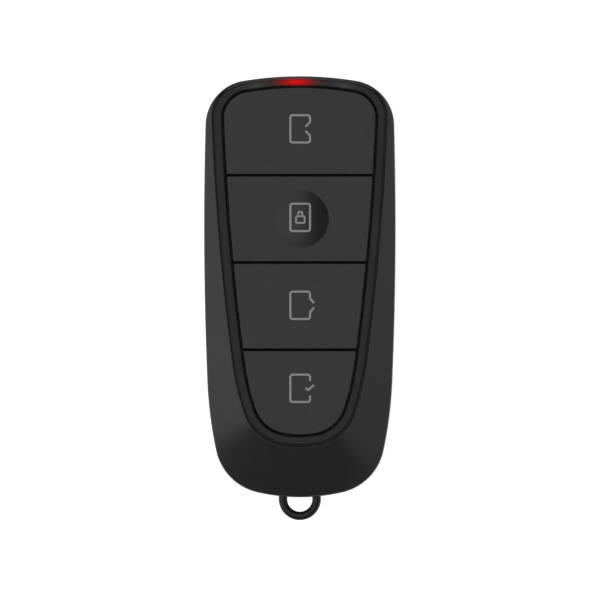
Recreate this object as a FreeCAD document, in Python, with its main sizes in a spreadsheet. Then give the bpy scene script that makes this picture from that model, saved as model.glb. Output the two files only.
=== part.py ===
import FreeCAD, Part
import math
import os
import re
import Sketcher
from FreeCAD import Placement, Rotation, Vector

# A four key hand transmitter that opens a turnstile. It lies on its back, keys up:
# X across, Y along with the key ring loop at the low end, Z up from the surface it lies on.
# All lengths are millimetres.

SIZES = {
    # Plan of the case at its parting line: half of a closed chain of tangent arcs
    "case_top": 36.23,
    "case_top_radius": 57,
    "case_shoulder_radius": 7.4,
    "case_half_width": 15.64,
    "case_wide_at": 11.8,
    "case_side_radius": 600,
    "case_taper_at": -10.83,
    "case_taper_radius": 67,
    "case_heel_radius": 8.9,
    "case_bottom": -32.48,
    "case_bottom_radius": 31,
    # Plan of the key panel, down the middle of the gap round the four keys
    "panel_top_inset": 1.7,
    "panel_top_radius": 51,
    "panel_shoulder_radius": 4.35,
    "panel_side_inset": 2.8,
    "panel_wide_at": 45.6,
    "panel_side_radius": 425,
    "panel_taper_at": -4.95,
    "panel_taper_radius": 41.4,
    "panel_heel_share": 0.472,
    "panel_bottom_inset": 10.045,
    "panel_bottom_radius": 13.9,
    # Case walls
    "wall": 1.2,
    "floor": 1.4,
    "land_width": 0.05,
    "slope": 0.64,
    "front_draft": 0.03,
    "back_draft": 0.3,
    "back_rounding": 3.0,
    "brow_rounding": 0.45,
    "parting_rise": 0.2,
    "lap_height": 0.8,
    "lap_thickness": 0.55,
    "lap_fit": 0.05,
    # Light ring let into the land round the keys, with a shadow groove outside it
    "seat_depth": 0.5,
    "ring_width": 1.36,
    "ring_proud": 0.08,
    "ring_fit": 0.03,
    "ring_end_inset": 0.5,
    "ring_corner": 1.0,
    "ring_rounding": 0.22,
    "groove_width": 0.15,
    "groove_depth": 0.2,
    "groove_flare": 0.25,
    "peg_radius": 0.4,
    "peg_depth": 0.7,
    "peg_fit": 0.03,
    "leg_half_width": 1.6,
    "leg_thickness": 0.55,
    "leg_fit": 0.05,
    # Keys
    "key_gap": 0.3,
    "first_key_length": 14.46,
    "key_pitch": 14.24,
    "key_proud": 0.35,
    "key_plate": 1.2,
    "key_wall": 0.9,
    "key_float": 0.75,
    "key_rounding": 0.15,
    "key_corner": 0.2,
    "lip": 1.0,
    "tab_thickness": 0.75,
    "tab_slack": 0.05,
    "tab_overlap": 0.6,
    "tab_half_length": 1.2,
    "bump_radius": 4.75,
    "bump_rise": 0.75,
    # Board, posts and ribs
    "board_gap": 0.3,
    "board_thickness": 1.0,
    "post_radius": 1.2,
    "post_inset": 2.9,
    "low_post_rise": 4.9,
    "pin_radius": 0.7,
    "pin_fit": 0.08,
    "rib_thickness": 1.0,
    "rib_reach": 1.4,
    "rib_gap": 0.05,
    # Press switches and the rubber mat between them and the keys
    "switch_size": 6.0,
    "switch_base_height": 1.5,
    "switch_well_radius": 2.1,
    "switch_well_depth": 0.7,
    "cover_thickness": 0.15,
    "dome_radius": 1.9,
    "dome_rise": 0.35,
    "dome_thickness": 0.06,
    "plunger_radius": 1.2,
    "plunger_foot_radius": 1.7,
    "plunger_foot_height": 0.25,
    "plunger_proud": 0.3,
    "plunger_gap": 0.1,
    "mat_web": 0.5,
    "mat_wall": 0.8,
    "mat_nub_radius": 1.4,
    "mat_nub_height": 0.3,
    "mat_pad_gap": 0.3,
    "touch_gap": 0.05,
    # Light and radio parts
    "led_half_width": 1.4,
    "led_depth": 0.8,
    "led_height": 1.0,
    "led_gap": 0.35,
    "chip_side": 4.0,
    "chip_height": 0.9,
    "coder_length": 5.0,
    "coder_width": 3.9,
    "coder_height": 1.4,
    "crystal_length": 3.2,
    "crystal_width": 2.5,
    "crystal_height": 0.7,
    "bead_length": 2.0,
    "bead_width": 1.25,
    "bead_height": 0.6,
    "aerial_width": 0.8,
    "aerial_thickness": 0.1,
    "aerial_half_span": 8.0,
    "aerial_edge_gap": 1.0,
    "aerial_length": 5.0,
    # Battery
    "cell_radius": 10.0,
    "cell_height": 3.2,
    "cell_at": -2.82,
    "cell_edge": 0.3,
    "contact_thickness": 0.2,
    "contact_radius": 3.5,
    "clip_thickness": 0.3,
    "clip_half_width": 4.0,
    "clip_side_gap": 0.3,
    "clip_floor_gap": 0.3,
    "clip_foot": 1.5,
    # Key ring loop, a bent wire trapped between the shells
    "loop_out": 0.3,
    "loop_radius": 2.74,
    "wire_radius": 0.71,
    "wire_fit": 0.03,
    "foot_in": 2.01,
    "foot_length": 2.2,
    "loop_block_wall": 0.8,
    # Two screws from the back
    "screw_across": 7.6,
    "screw_in": 6.76,
    "screw_radius": 1.0,
    "screw_head_radius": 1.7,
    "screw_head_height": 1.1,
    "screw_head_sunk": 0.3,
    "screw_grip": 2.7,
    "screw_fit": 0.02,
    "screw_play": 0.12,
    "boss_radius": 2.1,
    "driver_slot": 0.5,
}

# Places and levels that follow from the sizes, from the floor up and from the case edge in
PLACES = {
    "panel_top": "case_top - panel_top_inset",
    "panel_half_width": "case_half_width - panel_side_inset",
    "panel_heel_radius": "panel_half_width * panel_heel_share",
    "panel_bottom": "case_bottom + panel_bottom_inset",
    "far_side": "case_half_width + 5",
    "beyond_top": "case_top + 5",
    "below_bottom": "case_bottom - 5",
    # Stack of parts from the floor of the case up to the keys
    "cell_bottom": "floor + clip_floor_gap + clip_thickness",
    "board_bottom": "cell_bottom + cell_height + contact_thickness",
    "board_top": "board_bottom + board_thickness",
    "cover_level": "board_top + switch_base_height",
    "well_level": "cover_level - switch_well_depth",
    "plunger_foot": "cover_level - touch_gap - plunger_foot_height",
    "plunger_top": "cover_level + cover_thickness + plunger_proud",
    "nub_level": "plunger_top + touch_gap",
    "mat_level": "nub_level + mat_nub_height",
    "mat_top": "mat_level + mat_web",
    "key_bottom": "mat_top + key_float",
    "tab_top": "key_bottom + tab_thickness",
    "lip_under": "tab_top + tab_slack",
    "seat_level": "lip_under + lip",
    "land": "seat_level + seat_depth",
    "ring_level": "land + ring_proud",
    "key_top": "land + key_proud",
    "ceiling": "key_top - key_plate",
    "parting": "board_bottom + parting_rise",
    "lap_top": "parting + lap_height + lap_fit",
    # How far each outline stands from the middle of the gap round the keys
    "ring_inside": "key_gap / 2",
    "ring_outside": "ring_inside + ring_width",
    "seat_outside": "ring_outside + groove_width",
    "groove_edge": "seat_outside + groove_flare",
    "land_edge": "groove_edge + land_width",
    "roof_edge": "land_edge + (land - lip_under - wall * sqrt(1 + slope ^ 2)) / slope",
    "pad_end": "key_wall + mat_pad_gap",
    # Board, lamp and fixings
    "leg_face": "case_top - wall - leg_fit * 2",
    "led_face": "leg_face - led_gap - led_depth",
    "screw_at": "case_bottom + screw_in",
    "screw_end": "parting + screw_grip",
    "board_end": "screw_at + boss_radius + board_gap",
    "low_post_at": "board_end + low_post_rise",
    "aerial_low": "board_end + aerial_edge_gap",
    "aerial_high": "aerial_low + aerial_length",
    "loop_at": "case_bottom - loop_out",
    "foot_at": "case_bottom + foot_in",
    "bump_sphere": "(bump_radius ^ 2 + bump_rise ^ 2) / (2 * bump_rise)",
    "strap_inside": "cell_radius + clip_side_gap",
    "strap_outside": "strap_inside + clip_thickness",
    "strap_tip": "strap_inside + clip_foot",
    "strap_low": "cell_bottom - clip_thickness",
}

doc = FreeCAD.newDocument("turnstile_remote")
sheet = doc.addObject("Spreadsheet::Sheet", "sizes")
for row, (word, number) in enumerate(SIZES.items(), start=1):
    sheet.set("A%d" % row, word)
    sheet.set("B%d" % row, str(number))
    sheet.setAlias("B%d" % row, word)
doc.recompute()

PIECES = []
FRONT = Vector(0, 0, 1)


# Reading and binding sizes

def formula(text):
    """The expression with each place written out and each size named as a cell of the sheet."""
    def meaning(word):
        name = word.group()
        if name in PLACES:
            return f"({formula(PLACES[name])})"
        return f"sizes.{name}" if name in SIZES else name
    return re.sub(r"[a-z_]+", meaning, text)


def value(text):
    """What an expression of sizes comes to."""
    return float(sheet.evalExpression(formula(text)))


def bind(thing, **properties):
    """Bind properties to expressions of sizes; x, y and z stand for the position."""
    for name, text in properties.items():
        path = "Placement.Base." + name if name in ("x", "y", "z") else name
        thing.setExpression(path, formula(text))
    return thing


def side(kind, y, grow):
    """Expression for the half width of an outline at height y on its long side arc."""
    return (
        f"({kind}_half_width - {kind}_side_radius + ({grow})"
        f" + sqrt({kind}_side_radius ^ 2 - ({y} - {kind}_wide_at) ^ 2))"
    )


# Half outlines: six tangent arcs and a straight line down the middle

def centre_inside(big, big_radius, other, other_radius, radius, near):
    """Centre of a small circle that touches two larger ones from inside."""
    across = big_radius - radius
    along = other_radius - radius
    gap = other - big
    foot = (across ** 2 - along ** 2 + gap.Length ** 2) / (2 * gap.Length)
    rise = math.sqrt(across ** 2 - foot ** 2)
    unit = gap / gap.Length
    normal = Vector(-unit.y, unit.x, 0)
    found = [big + unit * foot + normal * rise * sign for sign in (1, -1)]
    return min(found, key=lambda point: (point - near).Length)


def touch(big, small, radius):
    """Where a large circle meets the smaller one inside it."""
    return big + (small - big).normalize() * radius


def outline(kind, grow, height):
    """Sketch of the right half of the case or panel plan, grown evenly, at one height."""
    def size(word):
        return value(f"{kind}_{word}")
    more = value(grow)
    names = ["top_radius", "shoulder_radius", "side_radius", "taper_radius", "heel_radius", "bottom_radius"]
    radii = [size(name) + more for name in names]
    top = size("top") + more
    bottom = size("bottom") - more
    width = size("half_width") + more
    crown = Vector(0, top - radii[0], 0)
    flank = Vector(width - radii[2], size("wide_at"), 0)
    lean = (size("taper_at") - size("wide_at")) / (radii[2] - radii[3])
    outward = Vector(math.sqrt(1 - lean ** 2), lean, 0)
    taper = flank + outward * (radii[2] - radii[3])
    base = Vector(0, bottom + radii[5], 0)
    shoulder = centre_inside(crown, radii[0], flank, radii[2], radii[1], Vector(width, top, 0))
    heel = centre_inside(taper, radii[3], base, radii[5], radii[4], Vector(width, bottom, 0))
    centres = [crown, shoulder, flank, taper, heel, base]
    joins = [
        Vector(0, top, 0),
        touch(crown, shoulder, radii[0]),
        touch(flank, shoulder, radii[2]),
        flank + outward * radii[2],
        touch(taper, heel, radii[3]),
        touch(base, heel, radii[5]),
        Vector(0, bottom, 0),
    ]
    sketch = doc.addObject("Sketcher::SketchObject", f"{kind}_outline")
    for centre, radius, start, end in zip(centres, radii, joins, joins[1:]):
        angles = [math.atan2(point.y - centre.y, point.x - centre.x) for point in (end, start)]
        sketch.addGeometry(Part.ArcOfCircle(Part.Circle(centre, FRONT, radius), *angles), False)
    sketch.addGeometry(Part.LineSegment(joins[-1], joins[0]), False)
    for arc in range(5):
        sketch.addConstraint(Sketcher.Constraint("Tangent", arc, 1, arc + 1, 2))
    sketch.addConstraint(Sketcher.Constraint("Coincident", 5, 1, 6, 1))
    sketch.addConstraint(Sketcher.Constraint("Coincident", 0, 2, 6, 2))
    for part, point in ((6, 1), (6, 2), (0, 3), (5, 3)):
        sketch.addConstraint(Sketcher.Constraint("PointOnObject", part, point, -2))

    def fix(text, *constraint):
        index = sketch.addConstraint(Sketcher.Constraint(*constraint, value(text)))
        sketch.setExpression(f"Constraints[{index}]", formula(text))
    for arc, name in enumerate(names):
        fix(f"{kind}_{name} + ({grow})", "Radius", arc)
    fix(f"{kind}_top + ({grow})", "DistanceY", -1, 1, 0, 2)
    fix(f"{kind}_bottom - ({grow})", "DistanceY", -1, 1, 5, 1)
    fix(f"{kind}_half_width - {kind}_side_radius", "DistanceX", -1, 1, 2, 3)
    fix(f"{kind}_wide_at", "DistanceY", -1, 1, 2, 3)
    fix(f"{kind}_taper_at", "DistanceY", -1, 1, 3, 3)
    return bind(sketch, z=height)


# Solids made of the half outlines, blocks and rods

def plate(name, kind, grow, low, high):
    """Half of an upright plate of one outline, from one level to another."""
    solid = doc.addObject("Part::Extrusion", name)
    solid.Base = outline(kind, grow, low)
    solid.DirMode = "Custom"
    solid.Dir = FRONT
    solid.Solid = True
    return bind(solid, LengthFwd=f"({high}) - ({low})")


def flare(name, kind, low_grow, low, high_grow, high):
    """Half of a tapering block between one outline grown by two amounts."""
    solid = doc.addObject("Part::Loft", name)
    solid.Sections = [outline(kind, low_grow, low), outline(kind, high_grow, high)]
    solid.Ruled = True
    solid.Solid = True
    return solid


def block(name, x, y, z):
    """Block between pairs of expressions along each axis."""
    solid = doc.addObject("Part::Box", name)
    bind(solid, Length=f"({x[1]}) - ({x[0]})", Width=f"({y[1]}) - ({y[0]})", Height=f"({z[1]}) - ({z[0]})")
    return bind(solid, x=x[0], y=y[0], z=z[0])


def rod(name, x, y, z, radius, length, turn=Rotation()):
    """Cylinder that starts at a point and runs up, or along X or Y when turned."""
    solid = doc.addObject("Part::Cylinder", name)
    solid.Placement = Placement(Vector(), turn)
    return bind(solid, Radius=radius, Height=length, x=x, y=y, z=z)


ALONG_X = Rotation(Vector(0, 1, 0), 90)
ALONG_Y = Rotation(Vector(1, 0, 0), -90)


def fuse(name, *parts):
    solid = doc.addObject("Part::MultiFuse", name)
    solid.Shapes = list(parts)
    return solid


def common(name, first, second):
    solid = doc.addObject("Part::Common", name)
    solid.Base = first
    solid.Tool = second
    return solid


def cut(name, base, *tools):
    solid = doc.addObject("Part::Cut", name)
    solid.Base = base
    solid.Tool = tools[0] if len(tools) == 1 else fuse(name + "_tools", *tools)
    return solid


def rounded(name, base, radius, wanted):
    """Fillet on each edge that the test accepts."""
    doc.recompute()
    solid = doc.addObject("Part::Fillet", name)
    solid.Base = base
    size_now = value(radius)
    solid.Edges = [(i, size_now, size_now) for i, edge in enumerate(base.Shape.Edges, start=1) if wanted(edge)]
    return solid


def level(edge, height):
    """True for an edge that lies at one height, away from the middle plane."""
    box = edge.BoundBox
    return abs(box.ZMin - height) < 0.001 and abs(box.ZMax - height) < 0.001 and box.XMax > 0.01


def corner_of(solid):
    """Test for an upright edge, off the middle plane, whose two faces meet at an angle."""
    def kinked(edge):
        box = edge.BoundBox
        if box.XLength > 0.001 or box.YLength > 0.001 or box.XMax < 0.01:
            return False
        middle = edge.valueAt((edge.FirstParameter + edge.LastParameter) / 2)
        beside = [face for face in solid.Shape.Faces if any(edge.isSame(own) for own in face.Edges)]
        normals = [face.normalAt(*face.Surface.parameter(middle)) for face in beside]
        return normals[0].getAngle(normals[1]) > 0.01
    return kinked


def piece(label, solid):
    """Register a finished piece under the name of its file."""
    solid.Label = label
    PIECES.append(solid)
    return solid


def whole(name, half):
    """Both sides of a shape from its right half and the mirror image."""
    mirrored = doc.addObject("Part::Mirroring", name + "_left")
    mirrored.Source = half
    mirrored.Normal = Vector(1, 0, 0)
    solid = doc.addObject("Part::Fuse", name + "_both")
    solid.Base = half
    solid.Tool = mirrored
    solid.Refine = True
    return solid


# Bodies made from sketches

def new_body(label, x="0", y="0", z="0"):
    body = doc.addObject("PartDesign::Body", label)
    body.Label = label
    PIECES.append(body)
    return bind(body, x=x, y=y, z=z)


def sketch_on(body, name, role):
    sketch = body.newObject("Sketcher::SketchObject", name)
    plane = next(plane for plane in body.Origin.OriginFeatures if plane.Role == role)
    sketch.AttachmentSupport = [(plane, "")]
    sketch.MapMode = "FlatFace"
    return sketch


def polygon(body, name, role, points):
    """Closed straight sided profile whose corners are pairs of expressions."""
    sketch = sketch_on(body, name, role)
    corners = [Vector(value(x), value(y), 0) for x, y in points]
    count = len(corners)
    for i in range(count):
        sketch.addGeometry(Part.LineSegment(corners[i], corners[(i + 1) % count]), False)
    for i in range(count):
        sketch.addConstraint(Sketcher.Constraint("Coincident", i, 2, (i + 1) % count, 1))
    for i, pair in enumerate(points):
        for direction, text in zip(("DistanceX", "DistanceY"), pair):
            index = sketch.addConstraint(Sketcher.Constraint(direction, -1, 1, i, 1, value(text)))
            sketch.setExpression(f"Constraints[{index}]", formula(text))
    return sketch


def disc(body, name, radius):
    """Circle round the body's own origin."""
    sketch = sketch_on(body, name, "XY_Plane")
    sketch.addGeometry(Part.Circle(Vector(), FRONT, value(radius)), False)
    sketch.addConstraint(Sketcher.Constraint("Coincident", 0, 3, -1, 1))
    index = sketch.addConstraint(Sketcher.Constraint("Radius", 0, value(radius)))
    sketch.setExpression(f"Constraints[{index}]", formula(radius))
    return sketch


def oblong(length, width):
    """Corners of a centred rectangle."""
    x, y = f"({length}) / 2", f"({width}) / 2"
    return [(f"-{x}", f"-{y}"), (x, f"-{y}"), (x, y), (f"-{x}", y)]


def pad(body, sketch, length, offset="0"):
    feature = body.newObject("PartDesign::Pad", "raise")
    feature.Profile = sketch
    if offset != "0":
        sketch.setExpression("AttachmentOffset.Base.z", formula(offset))
    return bind(feature, Length=length)


def pocket(body, sketch, depth, offset):
    """Sink a profile downward from a level."""
    feature = body.newObject("PartDesign::Pocket", "sink")
    feature.Profile = sketch
    sketch.setExpression("AttachmentOffset.Base.z", formula(offset))
    return bind(feature, Length=depth)


def turned(body, points):
    """Solid of revolution about the body's own upright axis."""
    sketch = polygon(body, "profile", "XZ_Plane", points)
    feature = body.newObject("PartDesign::Revolution", "turn")
    feature.Profile = sketch
    feature.ReferenceAxis = (sketch, ["V_Axis"])
    feature.Angle = 360
    return feature


def brick(label, length, width, height, x, y, z):
    """Small rectangular component standing on a surface."""
    body = new_body(label, x, y, z)
    pad(body, polygon(body, "plan", "XY_Plane", oblong(length, width)), height)
    return body


# Rows of the key column, from the lamp end down

DIVIDERS = [f"panel_top - first_key_length - {row} * key_pitch" for row in range(3)]
KEY_CENTRES = [f"panel_top - first_key_length + {0.5 - row} * key_pitch" for row in range(4)]


# Front shell: drafted sides cut by a skirt that falls evenly away from the land round the keys

front_sides = flare("front_sides", "case", "0", "parting", "-front_draft", "land")
front_skirt = flare("front_skirt", "panel", "land_edge + (land - parting) / slope", "parting", "land_edge", "land")
front_outside = common("front_outside", front_sides, front_skirt)


def brow(edge):
    """True for the curved edges where the skirt meets the sides."""
    box = edge.BoundBox
    between = box.ZMin > value("parting") + 0.01 and box.ZMin < value("land") - 0.01
    return between and box.XMax > 0.01 and edge.Curve.TypeId != "Part::GeomLine"


front_skin = rounded("front_skin", front_outside, "brow_rounding", brow)

inner_sides = plate("inner_sides", "case", "-wall", "parting", "lip_under")
inner_skirt = flare(
    "inner_skirt", "panel",
    "roof_edge + (lip_under - parting) / slope", "parting",
    "roof_edge", "lip_under",
)
front_hollow = common("front_hollow", inner_sides, inner_skirt)

board_ribs = [
    block(
        "board_rib",
        (f"{side('case', row, '-wall')} - rib_reach", "far_side"),
        (f"{row} - rib_thickness / 2", f"{row} + rib_thickness / 2"),
        ("board_top + rib_gap", "land"),
    )
    for row in (DIVIDERS[0], DIVIDERS[2])
]
front_boss = rod("front_boss", "screw_across", "screw_at", "parting", "boss_radius", "land")
LOOP_BLOCK = (
    ("-1", "loop_radius + foot_length + loop_block_wall"),
    ("below_bottom", "foot_at + wire_radius + loop_block_wall"),
)
front_loop_block = block("front_loop_block", *LOOP_BLOCK, ("parting - 1", "land"))
front_room = cut("front_room", front_hollow, *board_ribs, front_boss, front_loop_block)

lap_room = cut(
    "lap_room",
    plate("lap_outside", "case", "-wall + lap_thickness + lap_fit", "parting", "lap_top"),
    plate("lap_inside", "case", "-wall", "parting - 1", "land"),
)
key_opening = plate("key_opening", "panel", "ring_inside", "lap_top", "land + 1")
ring_seat = plate("ring_seat", "panel", "seat_outside", "seat_level", "land + 1")
groove_flare = flare(
    "groove_flare", "panel",
    "seat_outside", "land - groove_depth",
    "seat_outside + groove_flare * 2", "land + groove_depth",
)
leg_slot = block(
    "leg_slot",
    ("-1", "leg_half_width + leg_fit"),
    ("panel_top", "leg_face + leg_thickness + leg_fit"),
    ("lap_top", "land + 1"),
)
PEGS = [(side("panel", row, "ring_inside + ring_width / 2"), row) for row in (DIVIDERS[0], DIVIDERS[2])]
peg_holes = [
    rod("peg_hole", x, y, "seat_level - peg_depth - peg_fit", "peg_radius + peg_fit", "peg_depth + 1")
    for x, y in PEGS
]


def wire(name, radius, reach):
    """Right half of the bent wire at the parting plane, from the bend to the end of the foot."""
    bend = doc.addObject("Part::Torus", name + "_bend")
    bend.Placement = Placement(Vector(), Rotation(FRONT, -90))
    bend.Angle3 = 90
    bind(bend, Radius1="loop_radius", Radius2=radius, y="loop_at", z="parting")
    arm = rod(name + "_arm", "loop_radius", "loop_at", "parting", radius, "foot_at - loop_at", ALONG_Y)
    elbow = doc.addObject("Part::Sphere", name + "_elbow")
    bind(elbow, Radius=radius, x="loop_radius", y="foot_at", z="parting")
    foot = rod(name + "_foot", "loop_radius", "foot_at", "parting", radius, reach, ALONG_X)
    return fuse(name, bend, arm, elbow, foot)


wire_groove = wire("wire_groove", "wire_radius + wire_fit", "foot_length + wire_fit")
thread_hole = rod(
    "thread_hole", "screw_across", "screw_at", "parting - 1", "screw_radius + screw_fit",
    "screw_grip + screw_play + 1",
)
front_half = cut(
    "front_hal", front_skin,
    front_room, lap_room, key_opening, ring_seat, groove_flare, leg_slot, *peg_holes, wire_groove, thread_hole,
)
piece("front_shell", whole("front_shell", front_half))


# Rear shell: a tray with a tongue that laps inside the front shell

rear_outside = flare("rear_outside", "case", "-back_draft", "0", "0", "parting")
rear_skin = rounded("rear_skin", rear_outside, "back_rounding", lambda edge: level(edge, 0))
tongue = cut(
    "tongue",
    plate("tongue_outside", "case", "-wall + lap_thickness", "parting - 0.5", "lap_top - lap_fit"),
    plate("tongue_inside", "case", "-wall", "parting - 1", "land"),
)
rear_hollow = plate("rear_hollow", "case", "-wall", "floor", "parting + lap_height + 1")
rear_scoop = rounded("rear_scoop", rear_hollow, "back_rounding - wall", lambda edge: level(edge, value("floor")))

POSTS = [
    (f"{side('case', DIVIDERS[0], '-wall')} - post_inset", DIVIDERS[0]),
    (f"{side('case', 'low_post_at', '-wall')} - post_inset", "low_post_at"),
]
posts = [rod("post", x, y, "0", "post_radius", "board_bottom") for x, y in POSTS]
rear_boss = rod("rear_boss", "screw_across", "screw_at", "0", "boss_radius", "parting")
rear_loop_block = block("rear_loop_block", *LOOP_BLOCK, ("0", "parting"))
rear_room = cut("rear_room", rear_scoop, *posts, rear_boss, rear_loop_block)
locating_pin = rod("locating_pin", *POSTS[0], "board_bottom - 1", "pin_radius", "board_thickness + 0.9")
head_recess = rod(
    "head_recess", "screw_across", "screw_at", "-1", "screw_head_radius + screw_play",
    "screw_head_sunk + screw_head_height + 1",
)
screw_way = rod("screw_way", "screw_across", "screw_at", "0", "screw_radius + screw_play", "parting + 1")
rear_tray = cut("rear_tray", rear_skin, rear_room)
rear_half = cut(
    "rear_hal", fuse("rear_with_tongue", rear_tray, tongue, locating_pin), wire_groove, head_recess, screw_way,
)
piece("rear_shell", whole("rear_shell", rear_half))


# Light ring: a smoked frame round the keys, with a leg that carries light up from the board

ring_end = plate("ring_end", "case", "-front_draft - ring_end_inset", "seat_level", "ring_level")
ring_window = plate("ring_window", "panel", "ring_inside", "parting", "land + 1")
ring_plate = plate("ring_plate", "panel", "ring_outside", "seat_level", "ring_level")
ring_band = cut("ring_band", common("ring_to_end", ring_plate, ring_end), ring_window)
ring_soft = rounded("ring_soft", ring_band, "ring_corner", corner_of(ring_band))
ring_top = rounded("ring_top", ring_soft, "ring_rounding", lambda edge: level(edge, value("ring_level")))
ledge_plate = plate("ledge_plate", "panel", "seat_outside - ring_fit", "seat_level", "land - groove_depth")
ring_ledge = cut("ring_ledge", common("ledge_to_end", ledge_plate, ring_end), ring_window)
light_leg = block(
    "light_leg", ("0", "leg_half_width"), ("leg_face", "leg_face + leg_thickness"),
    ("lap_top + leg_fit", "seat_level"),
)
pegs = [rod("peg", x, y, "seat_level - peg_depth", "peg_radius", "peg_depth") for x, y in PEGS]
piece("light_ring", whole("light_ring", fuse("ring_hal", ring_top, ring_ledge, light_leg, *pegs)))


# Four keys: caps cut from one panel, with side tabs that catch under the lip of the front shell

KEY_ENDS = [
    (f"{DIVIDERS[0]} + key_gap / 2", "beyond_top"),
    (f"{DIVIDERS[1]} + key_gap / 2", f"{DIVIDERS[0]} - key_gap / 2"),
    (f"{DIVIDERS[2]} + key_gap / 2", f"{DIVIDERS[1]} - key_gap / 2"),
    ("below_bottom", f"{DIVIDERS[2]} - key_gap / 2"),
]
KEY_NAMES = ["key_enter", "key_lock", "key_exit", "key_allow"]
cap_plate = plate("cap_plate", "panel", "-key_gap / 2", "key_bottom", "key_top")
cap_inside = plate("cap_inside", "panel", "-key_gap / 2 - key_wall", "key_bottom - 1", "ceiling")
tab_plate = plate("tab_plate", "panel", "ring_inside + tab_overlap", "key_bottom", "tab_top")


def key_half(name, low, high, centre):
    """Right half of one key cap between two dividers."""
    strip = block(name + "_strip", ("0", "far_side"), (low, high), ("key_bottom", "key_top"))
    cap = common(name + "_cap", cap_plate, strip)
    corners = rounded(name + "_corners", cap, "key_corner", corner_of(cap))
    edged = rounded(name + "_edged", corners, "key_rounding", lambda edge: level(edge, value("key_top")))
    tab_span = block(
        name + "_tab_span", ("0", "far_side"), (f"{centre} - tab_half_length", f"{centre} + tab_half_length"),
        ("key_bottom", "tab_top"),
    )
    tab = common(name + "_tab", tab_plate, tab_span)
    room = common(
        name + "_room", cap_inside,
        block(
            name + "_room_strip", ("-1", "far_side"), (f"{low} + key_wall", f"{high} - key_wall"),
            ("0", "ceiling"),
        ),
    )
    return cut(name + "_hal", fuse(name + "_tabbed", edged, tab), room)


key_solids = [
    whole(name, key_half(name, *ends, centre))
    for name, ends, centre in zip(KEY_NAMES, KEY_ENDS, KEY_CENTRES)
]

# A low round bump on the second key tells it by touch
bump_ball = bind(
    doc.addObject("Part::Sphere", "bump_ball"),
    Radius="bump_sphere", y=KEY_CENTRES[1], z="key_top + bump_rise - bump_sphere",
)
bump_rod = rod("bump_rod", "0", KEY_CENTRES[1], "key_top - key_plate / 2", "bump_radius", "key_plate / 2 + bump_rise")
bump = common("bump", bump_ball, bump_rod)
key_solids[1] = fuse("key_lock_with_bump", key_solids[1], bump)
for name, solid in zip(KEY_NAMES, key_solids):
    piece(name, solid)


# Rubber mat: a web with a rim that stands on the board, a pad up into each cap and a nub over each switch

mat_web = plate("mat_web", "panel", "0", "mat_level", "mat_top")
mat_rim = cut(
    "mat_rim",
    plate("rim_outside", "panel", "0", "board_top", "mat_level"),
    plate("rim_inside", "panel", "-mat_wall", "parting", "land"),
)
pad_plate = plate("pad_plate", "panel", "-key_gap / 2 - pad_end", "mat_top", "ceiling - touch_gap")
pads = [
    common(
        "pad", pad_plate,
        block("pad_strip", ("0", "far_side"), (f"{low} + pad_end", f"{high} - pad_end"), ("mat_level", "land")),
    )
    for low, high in KEY_ENDS
]
led_notch = block(
    "led_notch", ("-1", "led_half_width + board_gap"), ("led_face - board_gap", "beyond_top"),
    ("board_bottom", "board_top + led_height + board_gap"),
)
mat_half = cut("mat_hal", fuse("mat_solid", mat_web, mat_rim, *pads), led_notch)
nubs = [rod("nub", "0", centre, "nub_level", "mat_nub_radius", "mat_nub_height") for centre in KEY_CENTRES]
piece("keypad_mat", fuse("keypad_mat_with_nubs", whole("keypad_mat", mat_half), *nubs))


# Circuit board, held between the posts of the tray and the ribs of the front shell

board_plate = common(
    "board_plate",
    plate("board_outline", "case", "-wall - board_gap", "board_bottom", "board_top"),
    block("board_span", ("0", "far_side"), ("board_end", "beyond_top"), ("board_bottom", "board_top")),
)
pin_hole = rod("pin_hole", *POSTS[0], "board_bottom - 1", "pin_radius + pin_fit", "board_thickness + 2")
piece("circuit_board", whole("circuit_board", cut("board_hal", board_plate, pin_hole)))

# One press switch under the middle of each key: base with a well, snap dome, plunger and cover plate
for number, centre in enumerate(KEY_CENTRES, start=1):
    base = new_body(f"switch_base_{number}", y=centre, z="board_top")
    square = oblong("switch_size", "switch_size")
    pad(base, polygon(base, "base_plan", "XY_Plane", square), "switch_base_height")
    pocket(base, disc(base, "well", "switch_well_radius"), "switch_well_depth", "switch_base_height")

    dome = new_body(f"switch_dome_{number}", y=centre, z="well_level")
    turned(dome, [
        ("0", "dome_rise - dome_thickness"),
        ("dome_radius / 2", "dome_rise - dome_thickness"),
        ("dome_radius - dome_thickness * 3", "0"),
        ("dome_radius", "0"),
        ("dome_radius", "dome_thickness"),
        ("dome_radius / 2", "dome_rise"),
        ("0", "dome_rise"),
    ])

    plunger = new_body(f"switch_plunger_{number}", y=centre, z="plunger_foot")
    stem_top = "plunger_top - plunger_foot"
    turned(plunger, [
        ("0", "0"),
        ("plunger_foot_radius", "0"),
        ("plunger_foot_radius", "plunger_foot_height"),
        ("plunger_radius", "plunger_foot_height"),
        ("plunger_radius", stem_top),
        ("0", stem_top),
    ])

    cover = new_body(f"switch_cover_{number}", y=centre, z="cover_level")
    pad(cover, polygon(cover, "cover_plan", "XY_Plane", square), "cover_thickness")
    pocket(cover, disc(cover, "plunger_hole", "plunger_radius + plunger_gap"), "cover_thickness", "cover_thickness")

# Components between the switches, and the red lamp that faces the leg of the light ring
brick(
    "indicator_led", "led_half_width * 2", "led_depth", "led_height",
    "0", "led_face + led_depth / 2", "board_top",
)
brick("code_chip", "coder_length", "coder_width", "coder_height", "0", DIVIDERS[0], "board_top")
brick("radio_chip", "chip_side", "chip_side", "chip_height", "-chip_side", DIVIDERS[1], "board_top")
brick("timing_crystal", "crystal_length", "crystal_width", "crystal_height", "chip_side", DIVIDERS[1], "board_top")
for name, sign in (("capacitor_left", "-"), ("capacitor_right", "")):
    brick(name, "bead_length", "bead_width", "bead_height", f"{sign}bead_length * 2", DIVIDERS[2], "board_top")

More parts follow.
